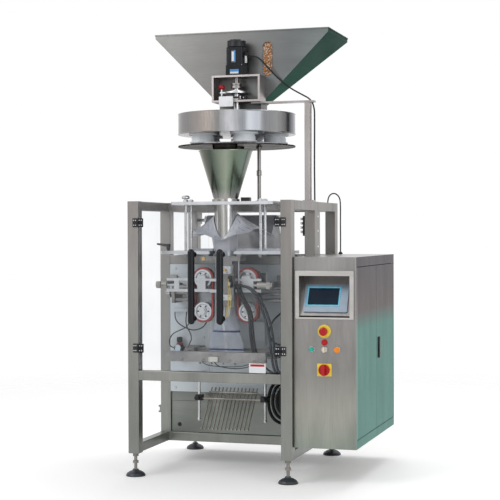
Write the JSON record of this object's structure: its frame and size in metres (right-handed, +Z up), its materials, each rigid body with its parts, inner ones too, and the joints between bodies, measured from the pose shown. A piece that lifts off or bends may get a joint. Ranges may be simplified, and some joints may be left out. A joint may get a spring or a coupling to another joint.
{
  "type": "vertical form fill sealer",
  "caption": "Vertical form fill sealer: stainless frame with clear doors, forming tube, pull belts, cross jaws, rotary cup filler with hopper, and a side cabinet with a touch panel",
  "frame": {"origin": "middle of the footprint of the whole machine, at floor level", "axes": "+Z up, -Y to the operator's side with the clear doors, +X to the cabinet"},
  "size_m": [1.2074, 1.028, 2.253],
  "materials": {
    "acrylic": "clear, faintly tinted",
    "aluminium": "satin",
    "belt_rubber": "matt",
    "bezel_plastic": "satin",
    "black_plastic": "fine texture",
    "blade_steel": "ground",
    "bright_steel": "ground",
    "cable_rubber": "matt",
    "cup_plastic": "satin",
    "film": "clear laminate",
    "fitting_plastic": "gloss",
    "foot_rubber": "satin",
    "green_plastic": "gloss",
    "grey_panel": "satin",
    "ivory_plastic": "gloss",
    "jaw_steel": "machined",
    "motor_paint": "satin",
    "orange_plastic": "gloss",
    "polished_steel": "polished",
    "red_plastic": "gloss",
    "stainless": "brushed",
    "tube_plastic": "gloss",
    "white_paint": "satin"
  },
  "bodies": {
    "machine": {"frame": "stainless", "levelling_feet": "foot_rubber", "mounting_panel": "grey_panel", "cover_panels": "stainless", "cabinet_shell": "stainless", "hmi_panel": "bezel_plastic", "control_fittings": "fitting_plastic", "fixed_hinge_leaves": "black_plastic", "forming_stand": "aluminium", "forming_tube": "polished_steel", "forming_collar": "stainless", "discharge_funnel": "polished_steel", "panel_brackets": "aluminium", "film_stand": "stainless", "hopper": "stainless", "sight_window": "acrylic", "filler_support": "stainless", "filler_motor": "motor_paint", "base_disc": "stainless", "chute_hanger_rods": "bright_steel", "air_regulator": "black_plastic", "air_tubes": "tube_plastic", "cables": "cable_rubber"},
    "left_door": {"left_door_pane": "acrylic", "left_door_fittings": "black_plastic"},
    "right_door": {"right_door_pane": "acrylic", "right_door_fittings": "black_plastic"},
    "front_cabinet_door": {"cabinet_door_front": "stainless"},
    "rear_cabinet_door": {"cabinet_door_rear": "stainless"},
    "door_handle": {"cabinet_handle": "black_plastic"},
    "emergency_stop": {"emergency_stop_button": "red_plastic"},
    "start": {"start_button": "green_plastic"},
    "stop": {"stop_button": "orange_plastic"},
    "selector": {"selector_knob": "ivory_plastic"},
    "main_switch": {"main_switch_knob": "red_plastic"},
    "filler_rotor": {"turntable": "polished_steel", "measuring_cups": "cup_plastic", "filler_shaft": "bright_steel"},
    "cup_sleeves": {"lower_cups": "aluminium"},
    "clutch": {"clutch_lever": "jaw_steel"},
    "left_carriage": {"belt_carriage_left": "white_paint", "left_belt": "belt_rubber"},
    "right_carriage": {"belt_carriage_right": "white_paint", "right_belt": "belt_rubber"},
    "upper_left_wheel": {"upper_left_pulley": "aluminium"},
    "lower_left_wheel": {"lower_left_pulley": "aluminium"},
    "upper_right_wheel": {"upper_right_pulley": "aluminium"},
    "lower_right_wheel": {"lower_right_pulley": "aluminium"},
    "belt_screw": {"adjusting_screw": "bright_steel"},
    "back_sealer": {"vertical_sealer": "jaw_steel"},
    "front_cross_jaw": {"front_jaw": "jaw_steel"},
    "rear_cross_jaw": {"rear_jaw": "jaw_steel"},
    "knife": {"knife_blade": "blade_steel"},
    "film_reel": {"film_roll": "film"},
    "dancer": {"dancer_arm": "aluminium"},
    "idler": {"guide_roller": "aluminium"},
    "chute_carriage": {"chute_clamps": "black_plastic"},
    "chute": {"chute_grid": "bright_steel"},
    "pressure_knob": {"regulator_knob": "black_plastic"},
    "set_clamp": {"clamp_lever": "black_plastic"}
  },
  "joints": [
    {"name": "left_door_hinge", "type": "hinge", "parent": "machine", "child": "left_door", "pos_m": [-0.4937, -0.462, 0.9], "axis": [0, 0, -1], "range_deg": [0, 120]},
    {"name": "right_door_hinge", "type": "hinge", "parent": "machine", "child": "right_door", "pos_m": [0.2343, -0.462, 0.9], "axis": [0, 0, 1], "range_deg": [0, 120]},
    {"name": "front_cabinet_hinge", "type": "hinge", "parent": "machine", "child": "front_cabinet_door", "pos_m": [0.5883, -0.401, 0.6], "axis": [0, 0, -1], "range_deg": [0, 100]},
    {"name": "rear_cabinet_hinge", "type": "hinge", "parent": "machine", "child": "rear_cabinet_door", "pos_m": [0.5883, 0.467, 0.6], "axis": [0, 0, 1], "range_deg": [0, 100]},
    {"name": "handle_turn", "type": "hinge", "parent": "rear_cabinet_door", "child": "door_handle", "pos_m": [0.5973, 0.099, 0.66], "axis": [1, 0, 0], "range_deg": [0, 90]},
    {"name": "emergency_stop_push", "type": "slide", "parent": "machine", "child": "emergency_stop", "axis": [0, 1, 0], "range_m": [0, 0.004], "stiffness_N_per_m": 900},
    {"name": "start_push", "type": "slide", "parent": "machine", "child": "start", "axis": [0, 1, 0], "range_m": [0, 0.004], "stiffness_N_per_m": 700},
    {"name": "stop_push", "type": "slide", "parent": "machine", "child": "stop", "axis": [0, 1, 0], "range_m": [0, 0.004], "stiffness_N_per_m": 700},
    {"name": "selector_turn", "type": "hinge", "parent": "machine", "child": "selector", "pos_m": [0.4428, -0.426, 0.647], "axis": [0, -1, 0], "range_deg": [-45, 45]},
    {"name": "main_switch_turn", "type": "hinge", "parent": "machine", "child": "main_switch", "pos_m": [0.4428, -0.426, 0.55], "axis": [0, -1, 0], "range_deg": [0, 90]},
    {"name": "turntable_spin", "type": "hinge", "parent": "machine", "child": "filler_rotor", "pos_m": [-0.1297, 0.012, 1.707], "axis": [0, 0, -1], "continuous": true},
    {"name": "cup_volume_slide", "type": "slide", "parent": "filler_rotor", "child": "cup_sleeves", "axis": [0, 0, 1], "range_m": [-0.002, 0.005]},
    {"name": "clutch_slide", "type": "slide", "parent": "machine", "child": "clutch", "axis": [0, 0, 1], "range_m": [-0.008, 0.006]},
    {"name": "left_belt_slide", "type": "slide", "parent": "machine", "child": "left_carriage", "axis": [-1, 0, 0], "range_m": [-0.002, 0.018]},
    {"name": "right_belt_slide", "type": "slide", "parent": "machine", "child": "right_carriage", "axis": [1, 0, 0], "range_m": [-0.002, 0.018]},
    {"name": "upper_left_spin", "type": "hinge", "parent": "left_carriage", "child": "upper_left_wheel", "pos_m": [-0.2477, -0.194, 0.972], "axis": [0, -1, 0], "continuous": true},
    {"name": "lower_left_spin", "type": "hinge", "parent": "left_carriage", "child": "lower_left_wheel", "pos_m": [-0.2477, -0.194, 0.806], "axis": [0, -1, 0], "continuous": true},
    {"name": "upper_right_spin", "type": "hinge", "parent": "right_carriage", "child": "upper_right_wheel", "pos_m": [-0.0117, -0.194, 0.972], "axis": [0, -1, 0], "continuous": true},
    {"name": "lower_right_spin", "type": "hinge", "parent": "right_carriage", "child": "lower_right_wheel", "pos_m": [-0.0117, -0.194, 0.806], "axis": [0, -1, 0], "continuous": true},
    {"name": "belt_screw_turn", "type": "hinge", "parent": "machine", "child": "belt_screw", "pos_m": [-0.1297, -0.096, 0.8925], "axis": [1, 0, 0], "range_deg": [-72, 648]},
    {"name": "back_sealer_slide", "type": "slide", "parent": "machine", "child": "back_sealer", "axis": [0, 1, 0], "range_m": [-0.024, 0.006]},
    {"name": "front_jaw_slide", "type": "slide", "parent": "machine", "child": "front_cross_jaw", "axis": [0, 1, 0], "range_m": [0, 0.044]},
    {"name": "rear_jaw_slide", "type": "slide", "parent": "machine", "child": "rear_cross_jaw", "axis": [0, -1, 0], "range_m": [0, 0.044]},
    {"name": "knife_slide", "type": "slide", "parent": "rear_cross_jaw", "child": "knife", "axis": [0, -1, 0], "range_m": [0, 0.012]},
    {"name": "film_reel_spin", "type": "hinge", "parent": "machine", "child": "film_reel", "pos_m": [-0.1297, 0.289, 0.395], "axis": [1, 0, 0], "continuous": true},
    {"name": "dancer_swing", "type": "hinge", "parent": "machine", "child": "dancer", "pos_m": [-0.1297, 0.394, 1.01], "axis": [1, 0, 0], "range_deg": [-25, 30]},
    {"name": "idler_spin", "type": "hinge", "parent": "machine", "child": "idler", "pos_m": [-0.1297, 0.104, 1.27], "axis": [1, 0, 0], "continuous": true},
    {"name": "chute_height_slide", "type": "slide", "parent": "machine", "child": "chute_carriage", "axis": [0, 0, 1], "range_m": [-0.07, 0.07]},
    {"name": "chute_tilt", "type": "hinge", "parent": "chute_carriage", "child": "chute", "pos_m": [-0.1297, -0.08829, 0.353], "axis": [1, 0, 0], "range_deg": [-12, 12]},
    {"name": "regulator_turn", "type": "hinge", "parent": "machine", "child": "pressure_knob", "pos_m": [-0.4317, -0.032, 0.64], "axis": [0, 0, 1], "range_deg": [-720, 720]},
    {"name": "clamp_turn", "type": "hinge", "parent": "machine", "child": "set_clamp", "pos_m": [-0.4297, -0.201, 1.112], "axis": [0, 0, 1], "range_deg": [-60, 60]}
  ],
  "couplings": [
    {"joint": "right_belt_slide", "follows": "left_belt_slide", "ratio": 1},
    {"joint": "belt_screw_turn", "follows": "left_belt_slide", "rad_per_m": 628.32},
    {"joint": "lower_left_spin", "follows": "upper_left_spin", "ratio": 1},
    {"joint": "upper_right_spin", "follows": "upper_left_spin", "ratio": -1},
    {"joint": "lower_right_spin", "follows": "upper_left_spin", "ratio": -1},
    {"joint": "rear_jaw_slide", "follows": "front_jaw_slide", "ratio": 1}
  ]
}
